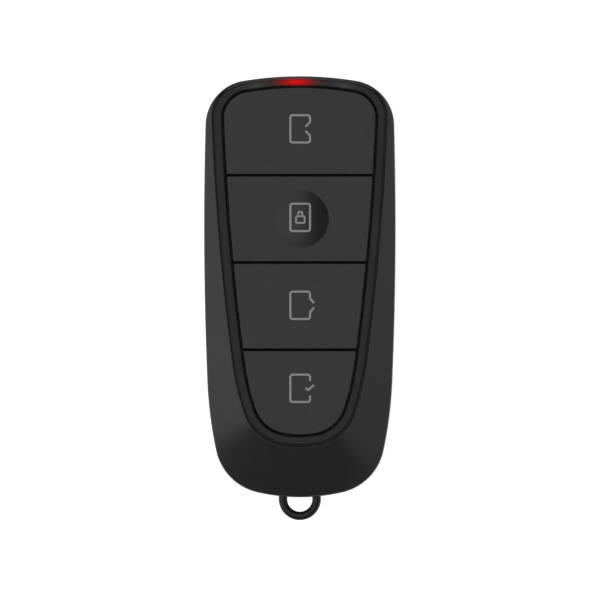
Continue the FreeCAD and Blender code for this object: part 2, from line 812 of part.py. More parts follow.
# Aerial: a flat copper loop under the low end of the board
aerial = new_body("aerial_track", z="board_bottom - aerial_thickness")
pad(aerial, polygon(aerial, "aerial_plan", "XY_Plane", [
    ("-aerial_half_span", "aerial_low"),
    ("aerial_half_span", "aerial_low"),
    ("aerial_half_span", "aerial_high"),
    ("aerial_half_span - aerial_width", "aerial_high"),
    ("aerial_half_span - aerial_width", "aerial_low + aerial_width"),
    ("-aerial_half_span + aerial_width", "aerial_low + aerial_width"),
    ("-aerial_half_span + aerial_width", "aerial_high"),
    ("-aerial_half_span", "aerial_high"),
]), "aerial_thickness")


# Battery: a coin cell held against the board by a spring strap

cell = new_body("coin_cell", y="cell_at", z="cell_bottom")
turned(cell, [
    ("0", "0"),
    ("cell_radius - cell_edge", "0"),
    ("cell_radius", "cell_edge"),
    ("cell_radius", "cell_height - cell_edge"),
    ("cell_radius - cell_edge", "cell_height"),
    ("0", "cell_height"),
])
contact = new_body("battery_contact", y="cell_at", z="board_bottom - contact_thickness")
pad(contact, disc(contact, "contact_plan", "contact_radius"), "contact_thickness")

right_side = [
    ("strap_outside", "strap_low"),
    ("strap_outside", "board_bottom - clip_thickness"),
    ("strap_tip", "board_bottom - clip_thickness"),
    ("strap_tip", "board_bottom"),
    ("strap_inside", "board_bottom"),
    ("strap_inside", "cell_bottom"),
]
left_side = [(f"-({x})", z) for x, z in reversed(right_side)]
clip = new_body("battery_clip", y="cell_at")
clip_strap = pad(clip, polygon(clip, "strap", "XZ_Plane", right_side + left_side), "clip_half_width * 2")
clip_strap.Midplane = True


# Key ring loop and the two case screws

piece("key_loop", whole("key_loop", wire("loop_hal", "wire_radius", "foot_length")))

for name, sign in (("case_screw_left", "-"), ("case_screw_right", "")):
    screw = new_body(name, f"{sign}screw_across", "screw_at", "screw_head_sunk")
    shank_end = "screw_end - screw_head_sunk"
    turned(screw, [
        ("0", "0"),
        ("screw_head_radius", "0"),
        ("screw_head_radius", "screw_head_height"),
        ("screw_radius", "screw_head_height"),
        ("screw_radius", shank_end),
        ("0", shank_end),
    ])
    arm, half = "screw_head_radius * 0.65", "driver_slot / 2"
    cross = [
        (half, half), (arm, half), (arm, f"-{half}"), (half, f"-{half}"),
        (half, f"-({arm})"), (f"-{half}", f"-({arm})"), (f"-{half}", f"-{half}"), (f"-({arm})", f"-{half}"),
        (f"-({arm})", half), (f"-{half}", half), (f"-{half}", arm), (half, arm),
    ]
    recess = pocket(screw, polygon(screw, "cross", "XY_Plane", cross), "driver_slot", "0")
    recess.Reversed = True


# Check every step, then write each piece to its own file

doc.recompute()
for thing in doc.Objects:
    if "Invalid" in thing.State or "Error" in thing.State:
        raise RuntimeError(f"{thing.Name} did not build: {thing.State}")
for solid in PIECES:
    if solid.Shape.isNull() or not solid.Shape.isValid() or not solid.Shape.Solids:
        raise RuntimeError(f"{solid.Label} has no sound shape")

os.makedirs("parts", exist_ok=True)
for solid in PIECES:
    solid.Shape.exportStep(f"parts/{solid.Label}.step")
    print(f"{solid.Label}: {len(solid.Shape.Solids)} solid, {solid.Shape.Volume:.2f} mm3")
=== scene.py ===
import math

import bpy
from bpy.props import FloatProperty, FloatVectorProperty, PointerProperty
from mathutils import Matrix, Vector


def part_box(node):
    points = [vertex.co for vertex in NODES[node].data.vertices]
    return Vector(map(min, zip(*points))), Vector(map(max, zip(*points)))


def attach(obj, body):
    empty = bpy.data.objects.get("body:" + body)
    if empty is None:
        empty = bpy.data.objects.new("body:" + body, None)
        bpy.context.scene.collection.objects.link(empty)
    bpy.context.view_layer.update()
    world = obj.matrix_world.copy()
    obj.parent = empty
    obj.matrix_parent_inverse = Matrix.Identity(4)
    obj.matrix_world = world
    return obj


bl_info = {
    "name": "Turnstile remote control",
    "version": (1, 0, 0),
    "blender": (4, 5, 0),
    "location": "3D View > Sidebar > Remote",
    "description": "Finishes a four key hand transmitter with its pictograms, lit ring and studio",
    "category": "Object",
}

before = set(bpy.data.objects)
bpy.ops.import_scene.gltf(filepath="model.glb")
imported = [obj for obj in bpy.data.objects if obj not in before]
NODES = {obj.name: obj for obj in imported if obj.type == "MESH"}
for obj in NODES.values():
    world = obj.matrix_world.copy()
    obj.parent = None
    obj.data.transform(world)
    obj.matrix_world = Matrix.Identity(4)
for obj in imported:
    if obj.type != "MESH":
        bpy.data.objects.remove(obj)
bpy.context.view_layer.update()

MM = 0.001
MICRON = 0.001 * MM


# Settings

class ShellSettings(bpy.types.PropertyGroup):
    case_colour: FloatVectorProperty(
        name="Case colour", description="Matt dark grey of both case halves",
        subtype="COLOR", size=3, min=0, max=1, default=(0.0180, 0.0181, 0.0185),
    )
    key_colour: FloatVectorProperty(
        name="Key colour", description="Matt dark grey of the four keys",
        subtype="COLOR", size=3, min=0, max=1, default=(0.0125, 0.0126, 0.0129),
    )
    grain: FloatProperty(
        name="Grain", description="Size of the spark eroded grain in the mould",
        subtype="DISTANCE", unit="LENGTH", min=0.02 * MM, max=1 * MM, precision=5, default=0.14 * MM,
    )
    grain_depth: FloatProperty(
        name="Grain depth", description="How deep the grain stands in the plastic",
        subtype="DISTANCE", unit="LENGTH", min=0, max=100 * MICRON, precision=7, default=2.8 * MICRON,
    )


class RingSettings(bpy.types.PropertyGroup):
    colour: FloatVectorProperty(
        name="Ring colour", description="Smoked plastic of the light ring",
        subtype="COLOR", size=3, min=0, max=1, default=(0.0060, 0.0061, 0.0063),
    )
    glow_colour: FloatVectorProperty(
        name="Glow colour", description="Red light in the lamp end of the ring",
        subtype="COLOR", size=3, min=0, max=1, default=(0.60, 0.004, 0.006),
    )
    glow_reach: FloatProperty(
        name="Glow reach", description="How far the light fades to either side of the lamp",
        subtype="DISTANCE", unit="LENGTH", min=0.5 * MM, max=20 * MM, precision=5, default=1.62 * MM,
    )
    glow_strength: FloatProperty(
        name="Glow strength", description="How brightly the lamp end shines",
        min=0, max=10, default=1.0,
    )
    # Colour of the painted highlights on the ring, one to either side of the lamp
    highlight_colour: FloatVectorProperty(
        name="Highlight colour", description="Painted highlights on the ring to either side of the lamp",
        subtype="COLOR", size=3, min=0, max=1, default=(0.038, 0.038, 0.0385),
    )
    leak: FloatProperty(
        name="Leak", description="Share of the light that shines through the thin rim beside the ring",
        min=0, max=1, default=0.7,
    )


class SymbolSettings(bpy.types.PropertyGroup):
    ink_colour: FloatVectorProperty(
        name="Ink colour", description="Light grey print of the pictograms",
        subtype="COLOR", size=3, min=0, max=1, default=(0.325, 0.325, 0.33),
    )
    stroke: FloatProperty(
        name="Stroke", description="Width of a printed line",
        subtype="DISTANCE", unit="LENGTH", min=0.1 * MM, max=1 * MM, precision=5, default=0.35 * MM,
    )
    thin_stroke: FloatProperty(
        name="Thin stroke", description="Width of the lines of the small padlock",
        subtype="DISTANCE", unit="LENGTH", min=0.1 * MM, max=1 * MM, precision=5, default=0.31 * MM,
    )
    ink_height: FloatProperty(
        name="Ink height", description="How far the print stands on the key",
        subtype="DISTANCE", unit="LENGTH", min=5 * MICRON, max=100 * MICRON, precision=6,
        default=12 * MICRON,
    )


class StageSettings(bpy.types.PropertyGroup):
    floor_colour: FloatVectorProperty(
        name="Floor colour", description="Pale floor under the remote",
        subtype="COLOR", size=3, min=0, max=1, default=(0.80, 0.80, 0.80),
    )
    picture_span: FloatProperty(
        name="Picture span", description="Width of the field that the camera takes in",
        subtype="DISTANCE", unit="LENGTH", min=20 * MM, max=1.0, precision=5, default=97.896 * MM,
    )
    light: FloatProperty(
        name="Light", description="Brightness of the soft boxes, where 1 is plain daylight",
        min=0, max=4, default=1.0,
    )


def settings(group):
    """A group's settings in the open scene."""
    return getattr(bpy.context.scene, "remote_" + group)


# Building node trees

FLOAT, VECTOR = "NodeSocketFloat", "NodeSocketVector"

# Places of a Mix node's colour sockets; its number and vector sockets have the same names
MIX_SHARE, MIX_FIRST, MIX_SECOND, MIX_RESULT = 0, 6, 7, 2


def node(tree, kind, inputs=None, **properties):
    """A new node; inputs are sockets to link from or plain values, named or numbered."""
    made = tree.nodes.new(kind)
    for name, setting in properties.items():
        setattr(made, name, setting)
    for name, source in (inputs or {}).items():
        if isinstance(source, bpy.types.NodeSocket):
            tree.links.new(source, made.inputs[name])
        else:
            made.inputs[name].default_value = source
    return made


def reckon(tree, operation, *values):
    """Result of a math node."""
    return node(tree, "ShaderNodeMath", dict(enumerate(values)), operation=operation).outputs[0]


def on_vectors(tree, operation, first, second):
    """Outputs of a vector math node."""
    return node(tree, "ShaderNodeVectorMath", {0: first, 1: second}, operation=operation).outputs


def opaque(colour):
    """A plain colour with its alpha, or the socket that was given."""
    return colour if isinstance(colour, bpy.types.NodeSocket) else (*colour[:3], 1)


def mixed(tree, share, first, second):
    """Colour mixed from two others."""
    return node(tree, "ShaderNodeMix", {
        MIX_SHARE: share, MIX_FIRST: opaque(first), MIX_SECOND: opaque(second),
    }, data_type="RGBA").outputs[MIX_RESULT]


def spread(tree, source, low, high, to_low, to_high):
    """A value carried smoothly from one range to another."""
    return node(tree, "ShaderNodeMapRange", {
        "Value": source, "From Min": low, "From Max": high, "To Min": to_low, "To Max": to_high,
    }, interpolation_type="SMOOTHSTEP").outputs["Result"]


def noise(tree, place, **inputs):
    """Noise from 0 to 1; its inputs are given by name in small letters."""
    given = {key.capitalize(): source for key, source in inputs.items()}
    return node(tree, "ShaderNodeTexNoise", {"Vector": place, **given}).outputs["Fac"]


def effect(name, inputs, outputs):
    """An empty shader group with named sockets, its input node and its output node."""
    tree = bpy.data.node_groups.new(name, "ShaderNodeTree")
    for label, kind, default in inputs:
        socket = tree.interface.new_socket(label, in_out="INPUT", socket_type=kind)
        if default is not None:
            socket.default_value = default
    for label, kind in outputs:
        tree.interface.new_socket(label, in_out="OUTPUT", socket_type=kind)
    return tree, node(tree, "NodeGroupInput").outputs, node(tree, "NodeGroupOutput")


# Effects that several finishes share

# The second grain and the mottle are this share as fine as the first grain
SECOND_FINENESS = 0.31
MOTTLE_FINENESS = 0.045

# How much of the height each grain gives
FIRST_HEIGHT, SECOND_HEIGHT = 0.7, 0.3

# Agreement between the rounded and the true direction of a face: where the edge mask of wear and painted
# sheen starts, and where it is full
EDGE_MASK_START, EDGE_MASK_FULL = 0.995, 0.86

# Share of the sky that a point still sees: deep in a recess, and out of it
RECESS_SKY, OPEN_SKY = 0.08, 0.38


def build_mould_grain():
    """Spark eroded grain: two sizes of noise as height, and a faint mottle as a mask."""
    tree, given, out = effect(
        "mould grain",
        [("Vector", VECTOR, None), ("Grain", FLOAT, 0.14 * MM)],
        [("Height", FLOAT), ("Mottle", FLOAT)],
    )
    fineness = reckon(tree, "DIVIDE", 1.0, given["Grain"])
    first = noise(tree, given["Vector"], scale=fineness, detail=2.0, roughness=0.6)
    second_fineness = reckon(tree, "MULTIPLY", fineness, SECOND_FINENESS)
    second = noise(tree, given["Vector"], scale=second_fineness, detail=1.0)
    first_height = reckon(tree, "MULTIPLY", first, FIRST_HEIGHT)
    second_height = reckon(tree, "MULTIPLY", second, SECOND_HEIGHT)
    height = reckon(tree, "ADD", first_height, second_height)
    mottle_fineness = reckon(tree, "MULTIPLY", fineness, MOTTLE_FINENESS)
    mottle = noise(tree, given["Vector"], scale=mottle_fineness, detail=3.0)
    tree.links.new(height, out.inputs["Height"])
    tree.links.new(mottle, out.inputs["Mottle"])
    return tree


def build_edge_wear_and_sheen():
    """Mask of edges worn smooth, broken up by noise; it marks both wear and a painted sheen on the
    edges.
    """
    tree, given, out = effect(
        "edge wear and sheen",
        [("Vector", VECTOR, None), ("Reach", FLOAT, 0.12 * MM), ("Break up", FLOAT, 900.0)],
        [("Mask", FLOAT)],
    )
    soft = node(tree, "ShaderNodeBevel", {"Radius": given["Reach"]}, samples=4).outputs["Normal"]
    plain = node(tree, "ShaderNodeNewGeometry").outputs["Normal"]
    agreement = on_vectors(tree, "DOT_PRODUCT", soft, plain)["Value"]
    edge = spread(tree, agreement, EDGE_MASK_START, EDGE_MASK_FULL, 0.0, 1.0)
    patches = noise(tree, given["Vector"], scale=given["Break up"], detail=3.0)
    mask = reckon(tree, "MULTIPLY", edge, spread(tree, patches, 0.35, 0.65, 0.35, 1.0))
    tree.links.new(mask, out.inputs["Mask"])
    return tree


def build_handling():
    """Mask of faint smudges that fingers leave, large and softly edged."""
    tree, given, out = effect(
        "handling", [("Vector", VECTOR, None), ("Size", FLOAT, 6 * MM)], [("Mask", FLOAT)],
    )
    often = reckon(tree, "DIVIDE", 1.0, given["Size"])
    cloud = noise(tree, given["Vector"], scale=often, detail=2.0, distortion=0.8)
    tree.links.new(spread(tree, cloud, 0.4, 0.7, 0.0, 1.0), out.inputs["Mask"])
    return tree


def build_crevice():
    """Mask of deep recesses such as the gaps round the keys, where light hardly reaches."""
    tree, given, out = effect("crevice", [("Reach", FLOAT, 0.8 * MM)], [("Mask", FLOAT)])
    sky = node(tree, "ShaderNodeAmbientOcclusion", {"Distance": given["Reach"]}, samples=8).outputs["AO"]
    tree.links.new(spread(tree, sky, RECESS_SKY, OPEN_SKY, 1.0, 0.0), out.inputs["Mask"])
    return tree


def build_streaks():
    """Fine drawn or brushed lines across one direction, as height and mask."""
    tree, given, out = effect(
        "streaks",
        [("Vector", VECTOR, None), ("Along", VECTOR, (1.0, 1.0, 0.05)), ("Fineness", FLOAT, 9000.0)],
        [("Height", FLOAT), ("Mask", FLOAT)],
    )
    stretched = on_vectors(tree, "MULTIPLY", given["Vector"], given["Along"])["Vector"]
    lines = noise(tree, stretched, scale=given["Fineness"], detail=3.0)
    tree.links.new(lines, out.inputs["Height"])
    tree.links.new(spread(tree, lines, 0.3, 0.7, 0.0, 1.0), out.inputs["Mask"])
    return tree


def build_lamp_glow():
    """Mask of light round a point, fading at its own rate along each axis."""
    tree, given, out = effect(
        "lamp glow",
        [("Vector", VECTOR, None), ("Centre", VECTOR, (0, 0, 0)), ("Reach", VECTOR, (MM, MM, MM))],
        [("Mask", FLOAT)],
    )
    away = on_vectors(tree, "SUBTRACT", given["Vector"], given["Centre"])["Vector"]
    share = on_vectors(tree, "DIVIDE", away, given["Reach"])["Vector"]
    square = on_vectors(tree, "DOT_PRODUCT", share, share)["Value"]
    fall = reckon(tree, "MULTIPLY", square, -0.5)
    tree.links.new(reckon(tree, "EXPONENT", fall), out.inputs["Mask"])
    return tree


EFFECT_BUILDERS = {
    "mould grain": build_mould_grain,
    "edge wear and sheen": build_edge_wear_and_sheen,
    "handling": build_handling,
    "crevice": build_crevice,
    "streaks": build_streaks,
    "lamp glow": build_lamp_glow,
}


def use(tree, name, **inputs):
    """Outputs of a shared effect placed in a material; it is built the first time."""
    group = bpy.data.node_groups.get(name) or EFFECT_BUILDERS[name]()
    given = {key.replace("_", " ").capitalize(): source for key, source in inputs.items()}
    return node(tree, "ShaderNodeGroup", given, node_tree=group).outputs


# Finishes in general

# The mottle's dark and light ends, between which it changes a finish
MOTTLE_DARK, MOTTLE_LIGHT = 0.3, 0.7

# How far the mottle changes the roughness of moulded plastic either way
ROUGHNESS_CHANGE = 0.02

# How much less rough smudges and rubbed edges are, and how much rougher a deep recess is
SMUDGE_GLOSS = 0.04
RUBBED_GLOSS = 0.12
RECESS_DULLNESS = 0.6

# Where edges are worn, the colour is this much paler, plus a little grey: partly wear, partly a painted
# sheen on the edges
WEAR_AND_SHEEN_TINT, WEAR_AND_SHEEN_GREY = 1.25, 0.006

# How much the painted shade in deep recesses darkens the colour
RECESS_SHADE_TINT = 0.3

# How strongly moulded plastic and the smoked ring reflect white light
MOULDED_SHINE = 0.35
RING_SHINE = 0.25


def new_finish(name):
    """A material with its Principled shader, its tree and its Object coordinates."""
    material = bpy.data.materials.new(name)
    material.use_nodes = True
    tree = material.node_tree
    shader = tree.nodes["Principled BSDF"]
    place = node(tree, "ShaderNodeTexCoord").outputs["Object"]
    return material, tree, shader, place


def tinted(colour, share):
    """A colour made darker or lighter by a share."""
    return [min(1, channel * share) for channel in colour]


def by_mottle(tree, texture, low, high):
    """A value that goes from low to high with the mottle of a grain."""
    return spread(tree, texture["Mottle"], MOTTLE_DARK, MOTTLE_LIGHT, low, high)


def overlaid(tree, base, colour, mask, share):
    """A base colour with a share of another one where the mask says."""
    return mixed(tree, reckon(tree, "MULTIPLY", mask, share), base, colour)


def bumped(tree, shader, height, depth, strength=1.0):
    """Let a height stand out of the surface by a depth."""
    bump = node(tree, "ShaderNodeBump", {"Height": height, "Distance": depth, "Strength": strength})
    tree.links.new(bump.outputs["Normal"], shader.inputs["Normal"])


def moulded(name, colour, roughness, grain, depth, wear=0.12):
    """Moulded plastic or rubber: grain, mottle, smudges, painted shade in deep recesses, and edges worn
    smooth that are paler, partly as a painted sheen.
    """
    material, tree, shader, place = new_finish(name)
    texture = use(tree, "mould grain", vector=place, grain=grain)
    wear_and_sheen = use(tree, "edge wear and sheen", vector=place)["Mask"]
    fingers = use(tree, "handling", vector=place)["Mask"]
    recess_shade = use(tree, "crevice")["Mask"]

    base = mixed(tree, texture["Mottle"], tinted(colour, 0.93), tinted(colour, 1.07))
    pale = [min(1, channel * WEAR_AND_SHEEN_TINT + WEAR_AND_SHEEN_GREY) for channel in colour]
    # Paler edges: partly wear, partly a painted sheen
    base = overlaid(tree, base, pale, wear_and_sheen, wear)
    # Painted shade: the colour darkens in deep recesses, where little light reaches
    base = mixed(tree, recess_shade, base, tinted(colour, RECESS_SHADE_TINT))
    tree.links.new(base, shader.inputs["Base Color"])

    rough = by_mottle(tree, texture, roughness - ROUGHNESS_CHANGE, roughness + ROUGHNESS_CHANGE)
    rough = reckon(tree, "SUBTRACT", rough, reckon(tree, "MULTIPLY", wear_and_sheen, RUBBED_GLOSS))
    rough = reckon(tree, "SUBTRACT", rough, reckon(tree, "MULTIPLY", fingers, SMUDGE_GLOSS))
    rough = reckon(tree, "ADD", rough, reckon(tree, "MULTIPLY", recess_shade, RECESS_DULLNESS))
    tree.links.new(rough, shader.inputs["Roughness"])

    bumped(tree, shader, texture["Height"], depth)
    shader.inputs["Specular IOR Level"].default_value = MOULDED_SHINE
    return material


def dress(material, *names):
    """Give CAD nodes one finish."""
    for name in names:
        mesh = NODES[name].data
        mesh.materials.clear()
        mesh.materials.append(material)


# Light of the lamp

# The glow lies this far left of the lamp and inside the ring's outer edge
LAMP_SHIFT = 0.52 * MM
RING_MIDDLE = 0.40 * MM

# How far the glow fades across the ring, and how deep it shows in the ring and in the case
RING_FADE = 0.40 * MM
RING_DEPTH = 4 * MM
RIM_DEPTH = 0.8 * MM

# The painted highlights on the ring: how far to each side they lie, and how far they fade along X and Y
HIGHLIGHT_SHIFT = 7.2 * MM
HIGHLIGHT_REACH = 1.15 * MM
HIGHLIGHT_FADE = 2.0 * MM


def lamp_glow(tree, place, across, depth):
    """Mask of the lamp's light, strongest in the middle of the ring's lamp end."""
    lamp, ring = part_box("indicator_led"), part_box("light_ring")
    centre = ((lamp[0].x + lamp[1].x) / 2 - LAMP_SHIFT, ring[1].y - RING_MIDDLE, ring[1].z)
    return use(tree, "lamp glow", vector=place, centre=centre, reach=(across, RING_FADE, depth))["Mask"]


def ring_highlights(tree, place):
    """Mask of the painted highlights on the ring, one to either side of the lamp."""
    low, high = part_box("light_ring")
    patches = []
    for side in (-1, 1):
        centre = ((low.x + high.x) / 2 + side * HIGHLIGHT_SHIFT, high.y - RING_MIDDLE, high.z)
        reach = (HIGHLIGHT_REACH, HIGHLIGHT_FADE, RING_DEPTH)
        patches.append(use(tree, "lamp glow", vector=place, centre=centre, reach=reach)["Mask"])
    return reckon(tree, "MAXIMUM", *patches)


def shine_through(material, mask, chosen):
    """Let a finish shine in the lamp's colour where the mask says."""
    tree = material.node_tree
    shader = tree.nodes["Principled BSDF"]
    tree.links.new(mixed(tree, mask, (0, 0, 0), chosen.glow_colour), shader.inputs["Emission Color"])
    shader.inputs["Emission Strength"].default_value = chosen.glow_strength


# Case halves and keys

KEYS = ["key_enter", "key_lock", "key_exit", "key_allow"]


class REMOTE_OT_shells(bpy.types.Operator):
    """Finish the two case halves in matt moulded plastic"""
    bl_idname = "remote.shells"
    bl_label = "Case halves"

    def execute(self, context):
        chosen, ring = settings("shell"), settings("ring")
        plastic = moulded(
            "case plastic", chosen.case_colour, roughness=0.33,
            grain=chosen.grain, depth=chosen.grain_depth,
        )
        tree = plastic.node_tree
        place = node(tree, "ShaderNodeTexCoord").outputs["Object"]
        mask = lamp_glow(tree, place, ring.glow_reach, RIM_DEPTH)
        shine_through(plastic, reckon(tree, "MULTIPLY", mask, ring.leak), ring)
        dress(plastic, "front_shell", "rear_shell")
        return {"FINISHED"}


class REMOTE_OT_keys(bpy.types.Operator):
    """Finish the four keys in matt moulded plastic"""
    bl_idname = "remote.keys"
    bl_label = "Keys"

    def execute(self, context):
        chosen = settings("shell")
        plastic = moulded(
            "key plastic", chosen.key_colour, roughness=0.32,
            grain=chosen.grain, depth=chosen.grain_depth,
        )
        dress(plastic, *KEYS)
        return {"FINISHED"}


# Light ring

# Colour and metal share of the ring's plastic in the middle of the glow
LIT_RED = (0.05, 0.001, 0.001)
LIT_METAL = 0.85


def smoked_plastic(chosen):
    """Smoked plastic, lit from below at the lamp end."""
    material, tree, shader, place = new_finish("smoked plastic")
    texture = use(tree, "mould grain", vector=place, grain=0.3 * MM)
    wear_and_sheen = use(tree, "edge wear and sheen", vector=place)["Mask"]
    glow = lamp_glow(tree, place, chosen.glow_reach, RING_DEPTH)

    base = mixed(tree, texture["Mottle"], tinted(chosen.colour, 0.9), tinted(chosen.colour, 1.1))
    # Paler edges: partly wear, partly a painted sheen
    base = overlaid(tree, base, tinted(chosen.colour, 1.6), wear_and_sheen, 0.3)
    # Painted highlights: paler patches on the ring to either side of the lamp
    base = mixed(tree, ring_highlights(tree, place), base, chosen.highlight_colour)
    base = mixed(tree, glow, base, LIT_RED)
    tree.links.new(base, shader.inputs["Base Color"])

    # Where it is lit, the ring reflects little white light, so that the red stays pure
    tree.links.new(spread(tree, glow, 0.0, 0.5, 0.0, LIT_METAL), shader.inputs["Metallic"])
    tree.links.new(by_mottle(tree, texture, 0.30, 0.36), shader.inputs["Roughness"])
    bumped(tree, shader, texture["Height"], 2 * MICRON)

    cloudy = by_mottle(tree, texture, 0.9, 1.05)
    shine_through(material, reckon(tree, "MULTIPLY", glow, cloudy), chosen)
    shader.inputs["Specular IOR Level"].default_value = RING_SHINE
    return material


class REMOTE_OT_light_ring(bpy.types.Operator):
    """Finish the light ring in smoked plastic that glows red at the lamp end"""
    bl_idname = "remote.light_ring"
    bl_label = "Light ring"

    def execute(self, context):
        dress(smoked_plastic(settings("ring")), "light_ring")
        return {"FINISHED"}


# Pictograms

ROUNDING_STEPS = 6

# The door frame in millimetres from the middle of its pictogram
DOOR_LEFT, DOOR_RIGHT, DOOR_HALF = -1.536, 1.667, 2.23
DOOR_CORNER = 0.42
DOOR_FRAME = [
    (DOOR_RIGHT, -DOOR_HALF, DOOR_CORNER), (DOOR_LEFT, -DOOR_HALF, DOOR_CORNER),
    (DOOR_LEFT, DOOR_HALF, DOOR_CORNER), (DOOR_RIGHT, DOOR_HALF, DOOR_CORNER),
]


def rounded_path(corners, closed=False):
    """Points of a path in millimetres; each corner is x, y and how far its rounding reaches."""
    points = []
    count = len(corners)
    for i, (x, y, reach) in enumerate(corners):
        here = Vector((x, y))
        if not closed and i in (0, count - 1):
            points.append(here)
            continue
        before = Vector(corners[i - 1][:2]) - here
        after = Vector(corners[(i + 1) % count][:2]) - here
        start = here + before.normalized() * reach
        end = here + after.normalized() * reach
        for step in range(ROUNDING_STEPS + 1):
            t = step / ROUNDING_STEPS
            points.append(start * (1 - t) ** 2 + here * 2 * t * (1 - t) + end * t ** 2)
    return points


def open_door(*side):
    """Door frame open on the right; the points lead on from its upper corner, mirrored below."""
    below = [(x, -y, reach) for x, y, reach in reversed(side)]
    return rounded_path(below + DOOR_FRAME + list(side))


def symbol_paths():
    """Pictograms by name: how far each stands above the middle of its key, and its strokes.

    A stroke is its points in millimetres, whether it is closed, and whether it is thin.
    """
    enter = open_door((DOOR_RIGHT, 1.08, 0.2), (0.92, 0.36, 0))
    leave = open_door((DOOR_RIGHT, 1.12, 0.2), (2.34, 0.34, 0))
    allow = open_door((DOOR_RIGHT, 1.20, 0))
    frame_path = rounded_path(DOOR_FRAME, closed=True)
    body = rounded_path([
        (-0.61, -0.89, 0.2), (0.80, -0.89, 0.2), (0.80, 0.19, 0.2), (-0.61, 0.19, 0.2),
    ], closed=True)
    shackle = rounded_path([(-0.26, 0.19, 0), (-0.26, 0.92, 0.32), (0.41, 0.92, 0.32), (0.41, 0.19, 0)])
    tick = rounded_path([(0.94, 0.11, 0), (1.32, -0.30, 0.05), (2.30, 0.53, 0)])
    return {
        "symbol_enter": (0.447, [(enter, False, False)]),
        "symbol_lock": (0.242, [(frame_path, True, False), (body, True, True), (shackle, False, True)]),
        "symbol_exit": (0.134, [(leave, False, False)]),
        "symbol_allow": (0.836, [(allow, False, False), (tick, False, False)]),
    }


# Steps along a ribbon of ink, points across it, and how far below its path the key may lie
STROKE_STEP = 0.06 * MM
RIBBON_POINTS = 5
DROP_LIMIT = 20 * MM

# How far above its key a path starts
PATH_RISE = 1 * MM


def build_print_tree():
    """Ribbon of ink that follows a path and lies on the key below it."""
    tree = bpy.data.node_groups.new("printed line", "GeometryNodeTree")
    tree.is_modifier = True
    for label, kind in (
        ("Geometry", "NodeSocketGeometry"), ("Key", "NodeSocketObject"), ("Stroke", FLOAT),
        ("Ink height", FLOAT), ("Ink", "NodeSocketMaterial"),
    ):
        tree.interface.new_socket(label, in_out="INPUT", socket_type=kind)
    tree.interface.new_socket("Geometry", in_out="OUTPUT", socket_type="NodeSocketGeometry")
    given = node(tree, "NodeGroupInput").outputs
    out = node(tree, "NodeGroupOutput")

    stepped = node(tree, "GeometryNodeResampleCurve", {
        "Curve": given["Geometry"], "Length": STROKE_STEP,
    }, mode="LENGTH")
    level = node(tree, "GeometryNodeSetCurveNormal", {"Curve": stepped.outputs[0]}, mode="Z_UP")
    width = reckon(tree, "MULTIPLY", given["Stroke"], node(tree, "GeometryNodeInputRadius").outputs[0])
    profile = node(tree, "GeometryNodeCurvePrimitiveLine", {"Start": (-0.5, 0, 0), "End": (0.5, 0, 0)})
    fine_profile = node(tree, "GeometryNodeResampleCurve", {
        "Curve": profile.outputs[0], "Count": RIBBON_POINTS,
    })
    ribbon = node(tree, "GeometryNodeCurveToMesh", {
        "Curve": level.outputs[0], "Profile Curve": fine_profile.outputs[0], "Scale": width,
    })
    surface = node(tree, "GeometryNodeObjectInfo", {"Object": given["Key"]}, transform_space="RELATIVE")
    found = node(tree, "GeometryNodeRaycast", {
        "Target Geometry": surface.outputs["Geometry"], "Ray Direction": (0, 0, -1),
        "Ray Length": DROP_LIMIT,
    })
    laid = node(tree, "GeometryNodeSetPosition", {
        "Geometry": ribbon.outputs[0], "Selection": found.outputs["Is Hit"],
        "Position": found.outputs["Hit Position"],
    })
    raised = node(tree, "GeometryNodeExtrudeMesh", {
        "Mesh": laid.outputs[0], "Offset": (0, 0, 1), "Offset Scale": given["Ink height"],
        "Individual": False,
    }, mode="FACES")
    real = node(tree, "GeometryNodeRealizeInstances", {"Geometry": raised.outputs[0]})
    inked = node(tree, "GeometryNodeSetMaterial", {
        "Geometry": real.outputs[0], "Material": given["Ink"],
    })
    tree.links.new(inked.outputs[0], out.inputs["Geometry"])
    return tree


def stroke_curve(name, strokes, centre, height, thinness):
    """Curve object with a pictogram's strokes; a point's radius is its share of the width."""
    curve = bpy.data.curves.new(name + "_path", "CURVE")
    curve.dimensions = "3D"
    for points, closed, thin in strokes:
        spline = curve.splines.new("POLY")
        spline.points.add(len(points) - 1)
        for point, place in zip(spline.points, points):
            point.co = (centre.x + place.x * MM, centre.y + place.y * MM, height, 1)
            point.radius = thinness if thin else 1
        spline.use_cyclic_u = closed
    path = bpy.data.objects.new(name + "_path", curve)
    bpy.context.scene.collection.objects.link(path)
    return path


def set_input(modifier, label, setting):
    """Set a modifier's named input by its socket's identifier."""
    for item in modifier.node_group.interface.items_tree:
        if item.item_type == "SOCKET" and item.in_out == "INPUT" and item.name == label:
            modifier[item.identifier] = setting
            return
    raise RuntimeError(f"no input is called {label}")


def made_plain(source, name):
    """Plain mesh object from an object's evaluated geometry; the source goes away."""
    bpy.context.view_layer.update()
    mesh = bpy.data.meshes.new_from_object(source.evaluated_get(bpy.context.evaluated_depsgraph_get()))
    mesh.name = name
    bpy.data.objects.remove(source)
    made = bpy.data.objects.new(name, mesh)
    bpy.context.scene.collection.objects.link(made)
    return made


def ink(chosen):
    """Light grey pad print, a little uneven."""
    material, tree, shader, place = new_finish("pad print")
    texture = use(tree, "mould grain", vector=place, grain=0.09 * MM)
    thin, thick = tinted(chosen.ink_colour, 0.86), tinted(chosen.ink_colour, 1.1)
    tree.links.new(mixed(tree, texture["Mottle"], thin, thick), shader.inputs["Base Color"])
    tree.links.new(by_mottle(tree, texture, 0.5, 0.62), shader.inputs["Roughness"])
    bumped(tree, shader, texture["Height"], 3 * MICRON)
    return material


def print_symbol(name, path, key, tree, finish, chosen):
    """Print a pictogram's path on its key and let it ride with that key."""
    modifier = path.modifiers.new("printed line", "NODES")
    modifier.node_group = tree
    for label, setting in (
        ("Key", NODES[key]), ("Stroke", chosen.stroke), ("Ink height", chosen.ink_height),
        ("Ink", finish),
    ):
        set_input(modifier, label, setting)
    symbol = made_plain(path, name)
    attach(symbol, key)


